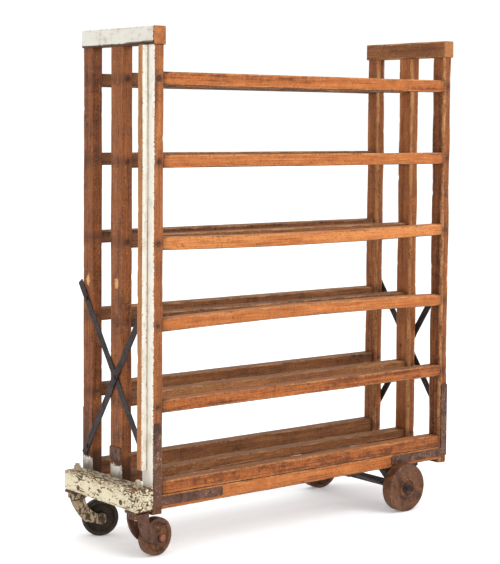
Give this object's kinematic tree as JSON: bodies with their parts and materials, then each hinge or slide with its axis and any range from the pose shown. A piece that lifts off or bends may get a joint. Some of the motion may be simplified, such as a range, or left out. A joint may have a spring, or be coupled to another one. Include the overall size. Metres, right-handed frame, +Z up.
{
  "type": "book cart",
  "caption": "Tall wooden rack cart with slatted open shelves between two post frames, on iron swivel casters at one end and plain iron wheels at the other.",
  "frame": {"origin": "middle of the footprint box, on the floor", "axes": "+Z up, +X along the shelves from the caster end to the fixed-axle end, +Y from the front to the rear"},
  "size_m": [1.528, 0.564, 1.821],
  "materials": {
    "aged_wood": "worn, oiled",
    "orange_wood": "worn, oiled",
    "peg_wood": "dark, iron-stained",
    "white_paint": "old white paint, chipped",
    "cream_paint": "old cream paint, peeling",
    "strap_iron": "dark, dull",
    "cast_iron": "rusty",
    "rusty_iron": "rusty, worn tread",
    "fastener_iron": "rusty"
  },
  "bodies": {
    "cart": {"axle_hangers": "cast_iron", "axle_nuts": "fastener_iron", "axle_stays": "strap_iron", "bolster_beam": "cream_paint", "bolster_bolts": "fastener_iron", "brace_bolts": "strap_iron", "caster_top_plates": "cast_iron", "fixed_axle": "strap_iron", "front_sill": "orange_wood", "iron_screws": "fastener_iron", "king_bolt_nuts": "fastener_iron", "king_bolts": "fastener_iron", "left_bottom_rail": "aged_wood", "left_brace_a": "strap_iron", "left_brace_b": "strap_iron", "left_front_corner_iron": "strap_iron", "left_front_post": "white_paint", "left_middle_post": "aged_wood", "left_rear_corner_iron": "strap_iron", "left_rear_post": "aged_wood", "left_top_rail": "white_paint", "post_plate": "strap_iron", "rear_sill": "orange_wood", "right_bottom_rail": "aged_wood", "right_brace_a": "strap_iron", "right_brace_b": "strap_iron", "right_front_corner_iron": "strap_iron", "right_front_post": "aged_wood", "right_middle_post": "aged_wood", "right_rear_corner_iron": "strap_iron", "right_rear_post": "aged_wood", "right_top_rail": "aged_wood", "rub_batten": "white_paint", "shelf_1_front_rail": "orange_wood", "shelf_1_middle_rail": "aged_wood", "shelf_1_rear_rail": "aged_wood", "shelf_2_front_rail": "orange_wood", "shelf_2_middle_rail": "aged_wood", "shelf_2_rear_rail": "aged_wood", "shelf_3_front_rail": "orange_wood", "shelf_3_middle_rail": "aged_wood", "shelf_3_rear_rail": "aged_wood", "shelf_4_front_rail": "orange_wood", "shelf_4_middle_rail": "aged_wood", "shelf_4_rear_rail": "aged_wood", "shelf_5_front_rail": "orange_wood", "shelf_5_middle_rail": "aged_wood", "shelf_5_rear_rail": "aged_wood", "shelf_6_front_rail": "orange_wood", "shelf_6_middle_rail": "aged_wood", "shelf_6_rear_rail": "aged_wood", "tenon_pegs": "peg_wood"},
    "front_caster": {"front_caster_fork": "cast_iron", "front_caster_axle_bolt": "fastener_iron"},
    "front_caster_roller": {"front_caster_wheel": "rusty_iron"},
    "rear_caster": {"rear_caster_fork": "cast_iron", "rear_caster_axle_bolt": "fastener_iron"},
    "rear_caster_roller": {"rear_caster_wheel": "rusty_iron"},
    "front_axle_roller": {"front_axle_wheel": "rusty_iron"},
    "rear_axle_roller": {"rear_axle_wheel": "rusty_iron"}
  },
  "joints": [
    {"name": "front_caster_swivel", "type": "hinge", "parent": "cart", "child": "front_caster", "pos_m": [-0.725, -0.19, 0.15], "axis": [0, 0, 1], "continuous": true},
    {"name": "front_caster_spin", "type": "hinge", "parent": "front_caster", "child": "front_caster_roller", "pos_m": [-0.64401, -0.17717, 0.0665], "axis": [-0.1564, 0.9877, 0], "continuous": true},
    {"name": "rear_caster_swivel", "type": "hinge", "parent": "cart", "child": "rear_caster", "pos_m": [-0.725, 0.19, 0.15], "axis": [0, 0, 1], "continuous": true},
    {"name": "rear_caster_spin", "type": "hinge", "parent": "rear_caster", "child": "rear_caster_roller", "pos_m": [-0.65009, 0.15665, 0.0665], "axis": [0.4067, 0.9135, 0], "continuous": true},
    {"name": "front_axle_spin", "type": "hinge", "parent": "cart", "child": "front_axle_roller", "pos_m": [0.487, -0.24675, 0.093], "axis": [0, 1, 0], "continuous": true},
    {"name": "rear_axle_spin", "type": "hinge", "parent": "cart", "child": "rear_axle_roller", "pos_m": [0.487, 0.24675, 0.093], "axis": [0, 1, 0], "continuous": true}
  ]
}
